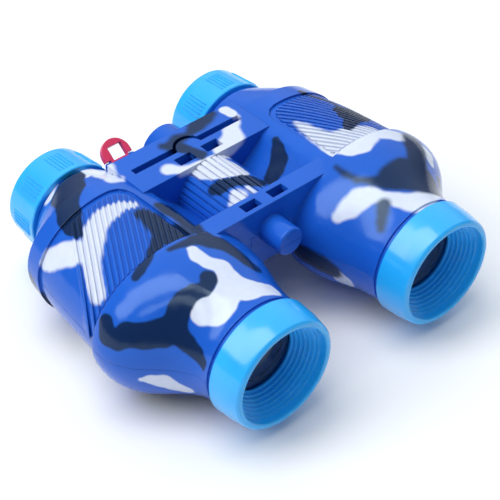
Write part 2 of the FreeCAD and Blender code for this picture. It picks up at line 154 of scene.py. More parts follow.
class Bench:
    """Node tree under construction."""

    NOISE_ROUGHNESS = 0.55
    EASING_SAMPLES = 6
    MIX_FIRST = 6
    MIX_SECOND = 7
    MIX_RESULT = 2
    VECTOR_NUMBER = 1

    def __init__(
        self, tree: bpy.types.NodeTree, owner: Optional[bpy.types.Material] = None
    ) -> None:
        """Keeps the tree and, where there is one, its material.

        Args:
            tree: The node tree.
            owner: Material that the tree belongs to.
        """
        self.tree = tree
        self.owner = owner
        self.place: Optional[Wire] = None

    @classmethod
    def material(cls, name: str) -> "Bench":
        """Starts an empty material.

        Args:
            name: Name of the material.

        Returns:
            The bench of its node tree, with the piece's own place at hand.
        """
        material = bpy.data.materials.new(name)
        material.use_nodes = True
        material.node_tree.nodes.clear()
        bench = cls(material.node_tree, material)
        bench.place = bench.add("ShaderNodeTexCoord", {}, {}, "Object")
        return bench

    def add(
        self,
        kind: str,
        settings: dict[str, Any],
        inputs: dict[Union[int, str], Any],
        output: Union[int, str] = 0,
    ) -> Wire:
        """Adds one node.

        Args:
            kind: Node type.
            settings: Properties that are set first.
            inputs: Values or wires of its sockets.
            output: Socket that is wanted.

        Returns:
            The wanted output.
        """
        node = self.tree.nodes.new(kind)
        for name, value in settings.items():
            setattr(node, name, value)
        for name, value in inputs.items():
            if isinstance(value, Wire):
                self.tree.links.new(value.socket, node.inputs[name])
            else:
                node.inputs[name].default_value = value
        return Wire(self, node.outputs[output])

    def vector(self, operation: str, *values: Any, output: int = 0) -> Wire:
        """Adds one Vector Math node over the given values.

        Args:
            operation: Name of the operation.
            values: Values of its sockets, in order.
            output: Socket that is wanted: 0, or VECTOR_NUMBER where the result is a number.

        Returns:
            The result.
        """
        inputs = dict(enumerate(values))
        return self.add("ShaderNodeVectorMath", {"operation": operation}, inputs, output)

    def noise(self, scale: float, detail: float = 3.0, output: str = "Fac") -> Wire:
        """Cloudy pattern over the piece's own place.

        Args:
            scale: Waves a metre.
            detail: Number of finer layers.
            output: "Fac" for one number, "Color" for three.

        Returns:
            The pattern.
        """
        return self.add(
            "ShaderNodeTexNoise",
            {},
            {
                "Vector": self.place,
                "Scale": scale,
                "Detail": detail,
                "Roughness": self.NOISE_ROUGHNESS,
            },
            output,
        )

    def blend(self, share: Wire, first: Union[Wire, Colour], second: Union[Wire, Colour]) -> Wire:
        """Mixes two colours.

        Args:
            share: Share of the second colour.
            first: Colour where the share is 0.
            second: Colour where the share is 1.

        Returns:
            The mixed colour.
        """
        return self.add(
            "ShaderNodeMix",
            {"data_type": "RGBA"},
            {"Factor": share, self.MIX_FIRST: first, self.MIX_SECOND: second},
            self.MIX_RESULT,
        )

    def relief(self, height: Wire, depth: float, strength: float, edge_radius: float) -> Wire:
        """Small surface relief over edges that are eased a little.

        Args:
            height: Relief pattern.
            depth: Its depth in metres.
            strength: Share of it that shows.
            edge_radius: Radius of the eased edges in metres.

        Returns:
            The normal.
        """
        eased = self.add(
            "ShaderNodeBevel", {"samples": self.EASING_SAMPLES}, {"Radius": edge_radius}
        )
        return self.add(
            "ShaderNodeBump",
            {},
            {"Height": height, "Distance": depth, "Strength": strength, "Normal": eased},
            "Normal",
        )

    def close(self, surface: dict[str, Any]) -> bpy.types.Material:
        """Ends the material with one plastic shader.

        Args:
            surface: Values or wires of the shader's sockets.

        Returns:
            The finished material.
        """
        shader = self.add("ShaderNodeBsdfPrincipled", {}, surface, "BSDF")
        out = self.tree.nodes.new("ShaderNodeOutputMaterial")
        self.tree.links.new(shader.socket, out.inputs["Surface"])
        return self.owner


# Viewpoint of the photograph


@dataclass(frozen=True)
class Viewpoint:
    """Camera in front, to the left and above, as in the photograph.

    Its offsets are counted in half spacings of the barrels, from the point between the front
    faces of the objective rings.
    """

    turn_deg: float = -41.9905
    tilt_deg: float = 40.7140
    roll_deg: float = 0.4529
    ring: str = "right_objective_ring"
    offset_right: float = -1.05395
    offset_up: float = 0.65215
    offset_back: float = 14.66208
    sensor_mm: float = 36.0
    lens_mm: float = 119.64
    picture_px: float = 500.0

    def axes(self) -> tuple[Vector, Vector, Vector]:
        """Works out how the camera is turned.

        Returns:
            Its directions to the right, up and back.
        """
        turn = math.radians(self.turn_deg)
        tilt = math.radians(self.tilt_deg)
        roll = math.radians(self.roll_deg)
        back = Vector(
            (math.sin(turn) * math.cos(tilt), -math.cos(turn) * math.cos(tilt), math.sin(tilt))
        )
        level = Vector((math.cos(turn), math.sin(turn), 0.0))
        above = back.cross(level)
        right = math.cos(roll) * level + math.sin(roll) * above
        up = -math.sin(roll) * level + math.cos(roll) * above
        return right, up, back

    def eye(self) -> Vector:
        """Works out where the camera stands.

        Returns:
            Its place in metres.
        """
        low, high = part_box(self.ring)
        half_spacing = (low[0] + high[0]) / 2.0
        middle = Vector((0.0, low[1], (low[2] + high[2]) / 2.0))
        right, up, back = self.axes()
        offset = self.offset_right * right + self.offset_up * up + self.offset_back * back
        return middle + half_spacing * offset

    def sight(self, across: float, down: float) -> Vector:
        """Works out the line of sight through one point of the photograph.

        Args:
            across: Pixels from its left edge.
            down: Pixels from its top edge.

        Returns:
            The direction of the line.
        """
        right, up, back = self.axes()
        middle = self.picture_px / 2.0
        reach = self.picture_px * self.lens_mm / self.sensor_mm
        return ((across - middle) * right - (down - middle) * up - reach * back).normalized()

    def build(self) -> None:
        """Sets up the camera."""
        lens = bpy.data.cameras.new("view")
        lens.sensor_width = self.sensor_mm
        lens.lens = self.lens_mm
        camera = bpy.data.objects.new("view", lens)
        bpy.context.scene.collection.objects.link(camera)
        matrix = Matrix(self.axes()).transposed().to_4x4()
        matrix.translation = self.eye()
        camera.matrix_world = matrix
        bpy.context.scene.camera = camera


# Camouflage print


class Ink(Enum):
    """Inks of the print over the blue plastic."""

    PALE = "pale"
    NAVY = "navy"


class Edge(Enum):
    """How far the edge of a stroke fades, in millimetres."""

    CRISP = 0.45
    SOFT = 0.8
    FADED = 1.2


class Look(Enum):
    """Looks at the hidden sides: the two axes across the view, and its direction."""

    BELOW = ((1, 0, 0), (0, 1, 0), (0, 0, 1))
    RIGHT = ((0, 1, 0), (0, 0, 1), (-1, 0, 0))
    LEFT = ((0, 1, 0), (0, 0, 1), (1, 0, 0))
    BEHIND = ((1, 0, 0), (0, 0, 1), (0, -1, 0))


@dataclass(frozen=True)
class Stroke:
    """One patch of the print, drawn as a run of marks.

    A mark is a place in the view that it is drawn in, and the half width there.
    """

    name: str
    ink: Ink
    edge: Edge
    marks: tuple[tuple[float, float, float], ...]


@dataclass(frozen=True)
class Dash:
    """Straight part of a stroke on the toy, round at both ends, in millimetres."""

    ink: Ink
    softness: float
    start: Vector
    end: Vector
    start_radius: float
    end_radius: float

    def reaches(self, low: Vector, high: Vector, margin: float) -> bool:
        """Tells whether the dash comes near a box.

        Args:
            low: Lowest corner of the box.
            high: Highest corner of the box.
            margin: How near counts.

        Returns:
            True where it comes within the margin.
        """
        radius = max(self.start_radius, self.end_radius) + margin
        for axis in range(3):
            least, most = sorted((self.start[axis], self.end[axis]))
            if most + radius < low[axis] or least - radius > high[axis]:
                return False
        return True


# Strokes that the photograph shows: pixels across, pixels down, half width in pixels. Most are
# print; one pale stroke on the right barrel's outer flank is a painted highlight, and the navy
# stroke under the right barrel is partly painted shade.
PHOTO_STROKES: tuple[Stroke, ...] = (
    Stroke("left neck outer", Ink.PALE, Edge.SOFT, ((55, 188, 3), (49, 198, 5))),
    Stroke("left neck top", Ink.PALE, Edge.SOFT, (
        (89, 172, 5.5), (98, 172, 5.5), (104, 174, 4.5), (112, 179, 3.5), (121, 180, 4),
    )),
    Stroke("left panel band", Ink.PALE, Edge.SOFT, (
        (132, 204, 4.5), (122, 207, 6), (112, 212, 8), (103, 218, 9.5), (96, 226, 11),
        (94, 240, 10.5), (92, 256, 10.5), (92, 270, 9.5), (94, 283, 9.5), (99, 294, 10),
    )),
    Stroke("left panel tail", Ink.PALE, Edge.SOFT, (
        (88, 250, 10), (74, 253.5, 11.5), (62, 255, 11), (51, 260, 9), (45, 265, 6),
    )),
    Stroke("left cheek upper", Ink.PALE, Edge.CRISP, (
        (193, 249, 4.5), (199, 256, 6.5), (208, 262, 6), (221, 266, 7), (228, 277, 9.5),
        (236, 286, 12), (248, 289, 10), (262, 289, 5.5), (272, 290, 4),
    )),
    Stroke("left cheek lobe", Ink.PALE, Edge.CRISP, (
        (228, 277, 9.5), (228, 292, 13), (222, 303, 15), (214, 310, 16), (205, 312, 14.5),
    )),
    Stroke("left cheek low", Ink.PALE, Edge.CRISP, (
        (142, 380, 2), (152, 380, 4.5), (163, 382, 6.5), (175, 387, 4), (186, 390, 3),
    )),
    Stroke("right panel band", Ink.PALE, Edge.SOFT, (
        (296, 124, 3), (306, 129, 5.5), (318, 135, 8.5), (331, 141, 11.5), (344, 143, 11.5),
        (357, 139, 12.5), (368, 134, 8), (382, 133, 5), (394, 135, 4.5), (403, 137, 3.5),
    )),
    Stroke("right panel lower", Ink.PALE, Edge.CRISP, (
        (333, 148, 6), (350, 148, 7), (362, 145, 7),
    )),
    Stroke("right ring band", Ink.PALE, Edge.SOFT, (
        (338, 217, 6), (349, 208, 10), (360, 199, 11.5), (372, 194, 8), (386, 198, 6),
        (400, 200, 7), (413, 202, 9), (427, 197, 6.5), (438, 196, 3.5),
    )),
    # Painted highlight: this pale stroke lightens the outer flank of the right barrel where a
    # bright streak of reflected light lies.
    Stroke("right sliver", Ink.PALE, Edge.CRISP, (
        (422, 146, 1.5), (427, 153, 3.2), (431, 162, 2),
    )),
    Stroke("right low", Ink.PALE, Edge.CRISP, ((338, 275, 4), (344, 281, 4.5), (351, 286, 2.5))),
    Stroke("tube upper", Ink.PALE, Edge.CRISP, (
        (197, 170, 7), (207, 168, 11), (219, 166, 13), (230, 168, 9), (240, 172, 5),
    )),
    Stroke("tube lower", Ink.PALE, Edge.SOFT, ((236, 194, 6.5), (240, 196, 6), (233, 202, 4.5))),
    Stroke("tube flecks", Ink.PALE, Edge.SOFT, ((248, 187, 2.5), (254, 191, 2.5))),
    Stroke("beam far", Ink.PALE, Edge.CRISP, ((225, 110, 4), (231, 113, 4))),
    Stroke("beam near", Ink.PALE, Edge.SOFT, (
        (237, 116, 2.5), (235, 123, 4.5), (232, 131, 9), (234, 137, 10), (228, 146, 9),
        (222, 150, 7),
    )),
    Stroke("beam left", Ink.PALE, Edge.SOFT, (
        (169, 169.5, 5.5), (180, 170, 4.5), (189, 170, 4.5), (197, 165, 4),
    )),
    Stroke("left neck", Ink.NAVY, Edge.CRISP, (
        (75, 171, 6.5), (71, 180, 9.5), (67, 192, 11.5), (66, 204, 12.5), (69, 216, 13.5),
        (74, 227, 10.5), (78, 234, 5.5),
    )),
    Stroke("left panel corner", Ink.NAVY, Edge.SOFT, (
        (143, 214, 5), (152, 218, 8), (160, 226, 11), (170, 234, 10.5), (182, 237, 6),
    )),
    Stroke("left panel side", Ink.NAVY, Edge.CRISP, (
        (158, 240, 8.5), (153, 251, 5), (146, 261, 4.5), (140, 270, 4.5), (135, 277, 4.5),
    )),
    Stroke("left top edge", Ink.NAVY, Edge.SOFT, (
        (161, 206, 3.5), (171, 211, 5), (179, 214, 5.5), (188, 224, 4.5), (197, 232, 5.5),
        (207, 237, 4.5),
    )),
    Stroke("left cheek rim", Ink.NAVY, Edge.SOFT, (
        (170, 250, 2.5), (185, 243, 3.5), (197, 239, 5), (208, 240, 6.5), (220, 243, 6),
        (232, 250, 5), (245, 260, 4), (256, 268, 3),
    )),
    Stroke("left cheek blob", Ink.NAVY, Edge.CRISP, (
        (105, 322, 7), (107, 336, 9), (116, 341, 10), (126, 336, 13), (145, 336, 14),
        (163, 333, 15), (174, 328, 14),
    )),
    Stroke("left cheek rise", Ink.NAVY, Edge.CRISP, (
        (174, 326, 14), (178, 312, 12.5), (184, 300, 11), (194, 292, 8.5), (204, 289, 8),
        (209, 280, 8), (208, 277, 8),
    )),
    Stroke("left cheek tail", Ink.NAVY, Edge.CRISP, (
        (178, 334, 12), (188, 344, 8), (196, 352, 6.5), (202, 362, 4), (203, 369, 1.5),
    )),
    Stroke("valley arc", Ink.NAVY, Edge.CRISP, (
        (275, 140, 4), (278, 150, 6.5), (279, 160, 8), (276, 170, 7.5), (270, 179, 6),
    )),
    Stroke("tube arc", Ink.NAVY, Edge.CRISP, (
        (214, 190, 6.5), (221, 186, 6.5), (232, 182, 5.5), (244, 180, 5), (256, 181, 5),
        (264, 182, 4.5),
    )),
    Stroke("beam band", Ink.NAVY, Edge.FADED, (
        (211, 114, 4), (204, 119, 6), (197, 126, 6.5), (190, 133, 4),
    )),
    Stroke("hub", Ink.NAVY, Edge.FADED, (
        (186, 136, 4), (178, 141, 7), (172, 146, 5), (163, 146, 3),
    )),
    Stroke("beam dot", Ink.NAVY, Edge.SOFT, (
        (175, 150, 3.5), (184, 149, 5), (193, 151, 4.5), (200, 155, 4.5), (202, 158, 2.5),
    )),
    Stroke("right panel edge", Ink.NAVY, Edge.CRISP, (
        (302, 92, 2), (318, 98, 2.5), (332, 103, 3), (344, 109, 5), (352, 114, 8), (353, 120, 8),
        (349, 126, 5),
    )),
    Stroke("right cheek sweep", Ink.NAVY, Edge.FADED, (
        (337, 167, 2.5), (345, 174, 3.5), (357, 180, 3), (372, 181, 4.5), (386, 181, 8),
        (396, 177, 14), (408, 175, 15), (419, 177, 13), (429, 183, 8), (435, 188, 4),
    )),
    Stroke("right cheek rise", Ink.NAVY, Edge.FADED, (
        (418, 170, 10), (418, 158, 8), (416, 148, 7), (412, 139, 4.5),
    )),
    Stroke("right front streak", Ink.NAVY, Edge.FADED, (
        (384, 205, 7.5), (383, 212, 6), (381, 222, 5), (381, 230, 4),
    )),
    # Partly painted shade: this navy stroke darkens the lower side of the right barrel, where its
    # own shade falls, over a navy patch of the print.
    Stroke("right underside", Ink.NAVY, Edge.FADED, (
        (299, 252, 7), (308, 257, 8), (320, 264, 8), (331, 271, 6.5),
    )),
)

# Strokes on the hidden sides: place along each axis of the look and half width, in millimetres
HIDDEN_STROKES: dict[Look, tuple[Stroke, ...]] = {
    Look.BELOW: (
        Stroke("left barrel", Ink.PALE, Edge.SOFT, (
            (-50, 10, 5), (-43, 2, 6), (-37, -8, 5), (-38, -18, 3.5),
        )),
        Stroke("left inner rear", Ink.PALE, Edge.SOFT, ((-20, 20, 4), (-27, 25, 4))),
        Stroke("left front", Ink.PALE, Edge.SOFT, ((-22, -30, 4), (-29, -37, 5), (-37, -41, 3))),
        Stroke("right rear", Ink.PALE, Edge.SOFT, ((28, 14, 5), (38, 8, 6), (47, 13, 4))),
        Stroke("right front", Ink.PALE, Edge.SOFT, ((51, -20, 4), (43, -28, 6), (34, -31, 4))),
        Stroke("right inner", Ink.PALE, Edge.SOFT, ((15, -14, 3), (21, -5, 5), (23, 6, 3))),
        Stroke("left inner", Ink.NAVY, Edge.SOFT, ((-30, 10, 4), (-24, 1, 5), (-21, -12, 4))),
        Stroke("left front sweep", Ink.NAVY, Edge.SOFT, (
            (-54, -20, 4), (-49, -28, 5), (-41, -32, 4.5), (-33, -27, 3),
        )),
        Stroke("left neck", Ink.NAVY, Edge.SOFT, ((-41, 24, 4), (-34, 30, 5), (-27, 35, 3))),
        Stroke("right middle", Ink.NAVY, Edge.SOFT, ((33, -5, 4), (43, -8, 6), (53, -3, 5))),
        Stroke("right inner front", Ink.NAVY, Edge.SOFT, ((22, -34, 4), (30, -41, 4))),
        Stroke("right outer rear", Ink.NAVY, Edge.SOFT, ((37, 26, 5), (45, 20, 4))),
        Stroke("right neck", Ink.NAVY, Edge.SOFT, ((19, 24, 4), (26, 31, 4))),
        Stroke("tube", Ink.NAVY, Edge.SOFT, ((-5, 12, 4), (3, 4, 5), (4, -5, 3))),
    ),
    Look.RIGHT: (
        Stroke("cheek", Ink.PALE, Edge.SOFT, ((-32, 14, 4), (-24, 20, 6), (-15, 15, 4))),
        Stroke("panel", Ink.PALE, Edge.SOFT, ((4, 24, 5), (13, 29, 5), (21, 22, 4))),
        Stroke("panel front", Ink.NAVY, Edge.SOFT, ((-11, 27, 4), (-4, 19, 6), (3, 9, 5))),
        Stroke("neck", Ink.NAVY, Edge.SOFT, ((18, 11, 5), (26, 15, 4))),
        Stroke("cheek rim", Ink.NAVY, Edge.SOFT, ((-40, 27, 3.5), (-32, 31, 3))),
    ),
    Look.LEFT: (
        Stroke("panel", Ink.PALE, Edge.SOFT, ((-8, 11, 3.5), (1, 7, 5), (11, 9, 4))),
        Stroke("neck", Ink.NAVY, Edge.SOFT, ((14, 8, 4), (22, 12, 5), (28, 18, 4))),
    ),
    Look.BEHIND: (
        Stroke("right shoulder", Ink.PALE, Edge.SOFT, ((47, 36, 4), (51, 27, 4))),
        Stroke("right inner shoulder", Ink.NAVY, Edge.SOFT, ((21, 36, 4), (16, 27, 4))),
        Stroke("right foot", Ink.NAVY, Edge.SOFT, ((37, 4, 4), (46, 8, 3))),
        Stroke("left inner foot", Ink.PALE, Edge.SOFT, ((-21, 10, 4), (-27, 5, 3))),
        Stroke("left foot", Ink.NAVY, Edge.SOFT, ((-49, 12, 4), (-41, 5, 4))),
        Stroke("right inner foot", Ink.PALE, Edge.SOFT, ((22, 8, 4), (17, 15, 4))),
    ),
}


class PrintLayout:
    """The whole print, laid on the toy from the views that its strokes are drawn in.

    On the toy a mark is as wide as the nearer of its two drawn edges shows, but not under the
    least share of its plain half width. An edge past the most share isn't counted.
    """

    PX_PER_MM = 3.25
    LEAST_SHARE = 0.9
    MOST_SHARE = 3.25
    STAND_OFF_MM = 200.0
    DECIMALS = 1

    def __init__(self, viewpoint: Viewpoint) -> None:
        """Joins the solids in one surface and lays every stroke on it.

        Args:
            viewpoint: Camera of the photograph.
        """
        self.viewpoint = viewpoint
        self.eye = viewpoint.eye() / MILLIMETRE
        self.surface = self.join()
        self.dashes: list[Dash] = []
        for stroke in PHOTO_STROKES:
            self.dashes += self.laid(stroke, self.photo_knots(stroke))
        for look, strokes in HIDDEN_STROKES.items():
            for stroke in strokes:
                self.dashes += self.laid(stroke, self.hidden_knots(look, stroke))
        LOG.info("print: %d dashes", len(self.dashes))

    @staticmethod
    def join() -> BVHTree:
        """Joins all solids at rest, in millimetres.

        Returns:
            The surface that lines of sight are tried on.
        """
        corners: list[Vector] = []
        faces: list[list[int]] = []
        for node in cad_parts.values():
            first = len(corners)
            corners += [corner.co / MILLIMETRE for corner in node.data.vertices]
            faces += [[first + corner for corner in face.vertices] for face in node.data.polygons]
        return BVHTree.FromPolygons(corners, faces)

    def meet(self, start: Vector, direction: Vector) -> Optional[Vector]:
        """Place where a line of sight first meets the toy, or None."""
        return self.surface.ray_cast(start, direction)[0]

    def seen(self, across: float, down: float) -> Optional[Vector]:
        """Place of the toy that a point of the photograph shows, or None beside the toy."""
        return self.meet(self.eye, self.viewpoint.sight(across, down))

    @staticmethod
    def on_toy(stroke: Stroke, place: Optional[Vector]) -> Vector:
        """Makes sure that a mark lies on the toy.

        Args:
            stroke: Stroke of the mark.
            place: Place that was found for it.

        Returns:
            The place.
        """
        if place is None:
            raise ValueError("a mark of the stroke %s misses the toy" % stroke.name)
        return place

    def photo_knots(self, stroke: Stroke) -> list[tuple[Vector, float]]:
        """Lays the marks of a stroke that is drawn on the photograph.

        Args:
            stroke: The stroke.

        Returns:
            Place and half width of each mark on the toy.
        """
        knots = []
        last = len(stroke.marks) - 1
        for index, (across, down, half_px) in enumerate(stroke.marks):
            place = self.on_toy(stroke, self.seen(across, down))
            before = Vector(stroke.marks[max(index - 1, 0)][:2])
            after = Vector(stroke.marks[min(index + 1, last)][:2])
            heading = (after - before).normalized()
            edges = [
                self.seen(across - side * heading.y, down + side * heading.x)
                for side in (half_px, -half_px)
            ]
            plain = half_px / self.PX_PER_MM
            gaps = [(edge - place).length for edge in edges if edge is not None]
            widths = [gap for gap in gaps if gap < plain * self.MOST_SHARE]
            width = max(plain * self.LEAST_SHARE, min(widths, default=plain))
            knots.append((place, width))
        return knots

    def hidden_knots(self, look: Look, stroke: Stroke) -> list[tuple[Vector, float]]:
        """Lays the marks of a stroke that is drawn on a hidden side.

        Args:
            look: The side.
            stroke: The stroke.

        Returns:
            Place and half width of each mark on the toy.
        """
        first_axis, second_axis, direction = (Vector(axis) for axis in look.value)
        knots = []
        for first, second, half_width in stroke.marks:
            start = first * first_axis + second * second_axis - self.STAND_OFF_MM * direction
            knots.append((self.on_toy(stroke, self.meet(start, direction)), half_width))
        return knots

    def laid(self, stroke: Stroke, knots: list[tuple[Vector, float]]) -> list[Dash]:
        """Joins the knots of a stroke, each rounded to a tenth of a millimetre.

        Args:
            stroke: The stroke.
            knots: Place and half width of each of its marks.

        Returns:
            Its dashes.
        """
        places = [Vector([round(value, self.DECIMALS) for value in place]) for place, _ in knots]
        widths = [round(width, self.DECIMALS) for _, width in knots]
        return [
            Dash(stroke.ink, stroke.edge.value, *ends, *radii)
            for ends, radii in zip(zip(places, places[1:]), zip(widths, widths[1:]))
        ]


class Stroker:
    """Node group that works out the gap to one dash and joins it to the gap so far."""

    SOCKETS = (
        ("Place", "NodeSocketVector"),
        ("Start", "NodeSocketVector"),
        ("Run", "NodeSocketVector"),
        ("Lead", "NodeSocketVector"),
        ("Offset", "NodeSocketFloat"),
        ("Radius", "NodeSocketFloat"),
        ("Growth", "NodeSocketFloat"),
        ("Sharpness", "NodeSocketFloat"),
        ("So far", "NodeSocketFloat"),
        ("Blend", "NodeSocketFloat"),
    )
    FAR = 1000.0

    def __init__(self) -> None:
        """Builds the group once."""
        self.tree = bpy.data.node_groups.new("print_dash", "ShaderNodeTree")
        for name, kind in self.SOCKETS:
            self.tree.interface.new_socket(name, in_out="INPUT", socket_type=kind)
        self.tree.interface.new_socket("Gap", in_out="OUTPUT", socket_type="NodeSocketFloat")
        bench = Bench(self.tree)
        source = self.tree.nodes.new("NodeGroupInput")
        given = {name: Wire(bench, source.outputs[name]) for name, _ in self.SOCKETS}
        number = bench.VECTOR_NUMBER
        along = bench.vector("DOT_PRODUCT", given["Place"], given["Lead"], output=number)
        share = bench.add(
            "ShaderNodeMath",
            {"operation": "SUBTRACT", "use_clamp": True},
            {0: along, 1: given["Offset"]},
        )
        foot = bench.vector("MULTIPLY_ADD", share, given["Run"], given["Start"])
        gap = bench.vector("DISTANCE", given["Place"], foot, output=number)
        gap = (gap - (share * given["Growth"] + given["Radius"])) * given["Sharpness"]
        total = given["So far"].lowest(gap, given["Blend"])
        result = self.tree.nodes.new("NodeGroupOutput")
        self.tree.links.new(total.socket, result.inputs["Gap"])

    def gap(self, bench: Bench, place: Wire, dashes: list[Dash], blend: float) -> Wire:
        """Distance from the border of a set of dashes, negative inside.

        It is counted in widths of their soft edges.

        Args:
            bench: Material under construction.
            place: Place on the piece in millimetres.
            dashes: The dashes.
            blend: How far neighbours are rounded into each other.

        Returns:
            The distance.
        """
        total: Any = self.FAR
        for dash in dashes:
            run = dash.end - dash.start
            lead = run / run.length_squared
            values = {
                "Place": place,
                "Start": dash.start,
                "Run": run,
                "Lead": lead,
                "Offset": dash.start.dot(lead),
                "Radius": dash.start_radius,
                "Growth": dash.end_radius - dash.start_radius,
                "Sharpness": 1.0 / dash.softness,
                "So far": total,
                "Blend": blend / dash.softness,
            }
            total = bench.add("ShaderNodeGroup", {"node_tree": self.tree}, values)
        return total


# Finishes: scales are in waves a metre, depths and edge radii in metres


@dataclass(frozen=True)
class CamoFinish:
    """Glossy blue plastic with a soft-edged two-ink print."""

    ground: Colour = (0.010, 0.104, 0.565, 1.0)
    ground_shade: Colour = (0.012, 0.114, 0.60, 1.0)
    ground_scale: float = 60.0
    pale: Colour = (0.68, 0.73, 0.86, 1.0)
    pale_shade: Colour = (0.65, 0.70, 0.84, 1.0)
    pale_scale: float = 400.0
    navy: Colour = (0.002, 0.017, 0.078, 1.0)
    sheen_tint: Colour = (0.70, 0.92, 1.0, 1.0)
    refraction: float = 1.42
    roughness: float = 0.15
    roughness_spread: float = 0.04
    roughness_scale: float = 300.0
    grain_scale: float = 2600.0
    waviness_scale: float = 160.0
    waviness: float = 2.0
    relief_depth: float = 0.00002
    relief_strength: float = 0.25
    edge_radius: float = 0.0005
    blend_mm: float = 1.4
    drift_mm: float = 1.8
    drift_scale: float = 120.0
    dash_limit: int = 52
    reach_mm: float = 3.0

    def dress(self, piece: bpy.types.Object, stroker: Stroker, dashes: list[Dash]) -> None:
        """Prints a piece, zone by zone, so that no zone holds too many dashes.

        Args:
            piece: The piece, at the origin and in metres.
            stroker: Node group of the dashes.
            dashes: The whole print.
        """
        piece.data.materials.clear()
        faces = [(face.index, face.center / MILLIMETRE) for face in piece.data.polygons]
        for index, (members, near) in enumerate(self.zones(piece, faces, dashes)):
            name = piece.name + "_print_%d" % index
            piece.data.materials.append(self.material(name, near, stroker))
            for member in members:
                piece.data.polygons[member].material_index = index

    def zones(
        self, piece: bpy.types.Object, faces: list[tuple[int, Vector]], dashes: list[Dash]
    ) -> list[tuple[list[int], list[Dash]]]:
        """Splits faces in two, again and again, until few enough dashes reach each set.

        Args:
            piece: The piece.
            faces: Number and centre in millimetres of each face.
            dashes: Dashes that may reach these faces.

        Returns:
            Sets of face numbers, each with the dashes that reach it.
        """
        mesh = piece.data
        members = [number for number, _ in faces]
        corners = [
            mesh.vertices[corner].co / MILLIMETRE
            for number in members
            for corner in mesh.polygons[number].vertices
        ]
        low = Vector([min(corner[axis] for corner in corners) for axis in range(3)])
        high = Vector([max(corner[axis] for corner in corners) for axis in range(3)])
        near = [dash for dash in dashes if dash.reaches(low, high, self.reach_mm)]
        if len(near) <= self.dash_limit or len(faces) < self.dash_limit:
            return [(members, near)]
        axis = max(range(3), key=lambda side: high[side] - low[side])
        middle = (low[axis] + high[axis]) / 2.0
        first = [face for face in faces if face[1][axis] <= middle]
        second = [face for face in faces if face[1][axis] > middle]
        if not first or not second:
            return [(members, near)]
        return self.zones(piece, first, near) + self.zones(piece, second, near)

    def place(self, bench: Bench) -> Wire:
        """Place on the piece in millimetres, led astray a little so that edges wander.

        Args:
            bench: Material under construction.

        Returns:
            The place.
        """
        scaled = bench.add(
            "ShaderNodeVectorMath",
            {"operation": "SCALE"},
            {0: bench.place, "Scale": 1.0 / MILLIMETRE},
        )
        drift = bench.noise(self.drift_scale, DRIFT_DETAIL, "Color")
        centred = bench.vector("SUBTRACT", drift, NOISE_MIDDLE)
        return bench.vector("MULTIPLY_ADD", centred, (self.drift_mm,) * 3, scaled)

    def material(self, name: str, dashes: list[Dash], stroker: Stroker) -> bpy.types.Material:
        """Builds the finish of one zone.

        Args:
            name: Name of the material.
            dashes: Dashes that reach the zone.
            stroker: Node group of the dashes.

        Returns:
            The finished material.
        """
        bench = Bench.material(name)
        place = self.place(bench)
        clouds = bench.noise(self.ground_scale).step(*CLOUD_RANGE)
        printed = bench.blend(clouds, self.ground, self.ground_shade)
        specks = bench.noise(self.pale_scale).step(*SPECK_RANGE)
        pale = bench.blend(specks, self.pale, self.pale_shade)
        for ink, colour in ((Ink.PALE, pale), (Ink.NAVY, self.navy)):
            chosen = [dash for dash in dashes if dash.ink is ink]
            if chosen:
                gap = stroker.gap(bench, place, chosen, self.blend_mm)
                inked = gap.step(*FADE_RANGE, start=1.0, end=0.0)
                printed = bench.blend(inked, printed, colour)
        smoothest = self.roughness - self.roughness_spread
        roughest = self.roughness + self.roughness_spread
        gloss = bench.noise(self.roughness_scale).step(*SPECK_RANGE, smoothest, roughest)
        grain = bench.noise(self.grain_scale, GRAIN_DETAIL)
        height = grain + bench.noise(self.waviness_scale, WAVE_DETAIL) * self.waviness
        normal = bench.relief(height, self.relief_depth, self.relief_strength, self.edge_radius)
        return bench.close(
            {
                "Base Color": printed,
                "Roughness": gloss,
                "IOR": self.refraction,
                "Specular Tint": self.sheen_tint,
                "Normal": normal,
            }
        )


@dataclass(frozen=True)
class TrimFinish:
    """Plain coloured plastic with faint flow marks and a soft gloss."""

    name: str
    tone: Colour
    shade: Colour
    roughness: float = 0.2
    coat: float = 0.15
    coat_roughness: float = 0.08
    refraction: float = 1.5
    roughness_spread: float = 0.04
    roughness_scale: float = 260.0
    flow_scale: float = 90.0
    grain_scale: float = 2400.0
    relief_depth: float = 0.00002
    relief_strength: float = 0.3
    edge_radius: float = 0.0003

    def material(self) -> bpy.types.Material:
        """Builds the material.

        Returns:
            The finished material.
        """
        bench = Bench.material(self.name)
        flow = bench.noise(self.flow_scale).step(*CLOUD_RANGE)
        smoothest = self.roughness - self.roughness_spread
        roughest = self.roughness + self.roughness_spread
        gloss = bench.noise(self.roughness_scale).step(*SPECK_RANGE, smoothest, roughest)
        grain = bench.noise(self.grain_scale, GRAIN_DETAIL)
        normal = bench.relief(grain, self.relief_depth, self.relief_strength, self.edge_radius)
        return bench.close(
            {
                "Base Color": bench.blend(flow, self.tone, self.shade),
                "Roughness": gloss,
                "IOR": self.refraction,
                "Coat Weight": self.coat,
                "Coat Roughness": self.coat_roughness,
                "Normal": normal,
            }
        )


@dataclass(frozen=True)
class LensFinish:
    """Clear moulded plastic of the lenses, faintly smeared."""

    name: str = "clear_lens"
    tint: Colour = (0.34, 0.50, 0.98, 1.0)
    tint_shade: Colour = (0.30, 0.47, 0.97, 1.0)
    tint_scale: float = 150.0
    smoothest: float = 0.015
    roughest: float = 0.05
    smear_scale: float = 220.0
    refraction: float = 1.33

    def material(self) -> bpy.types.Material:
        """Builds the material.

        Returns:
            The finished material.
        """
        bench = Bench.material(self.name)
        smear = bench.noise(self.smear_scale).step(*SMEAR_RANGE, self.smoothest, self.roughest)
        return bench.close(
            {
                "Base Color": bench.blend(
                    bench.noise(self.tint_scale), self.tint, self.tint_shade
                ),
                "Roughness": smear,
                "IOR": self.refraction,
                "Transmission Weight": 1.0,
            }
        )


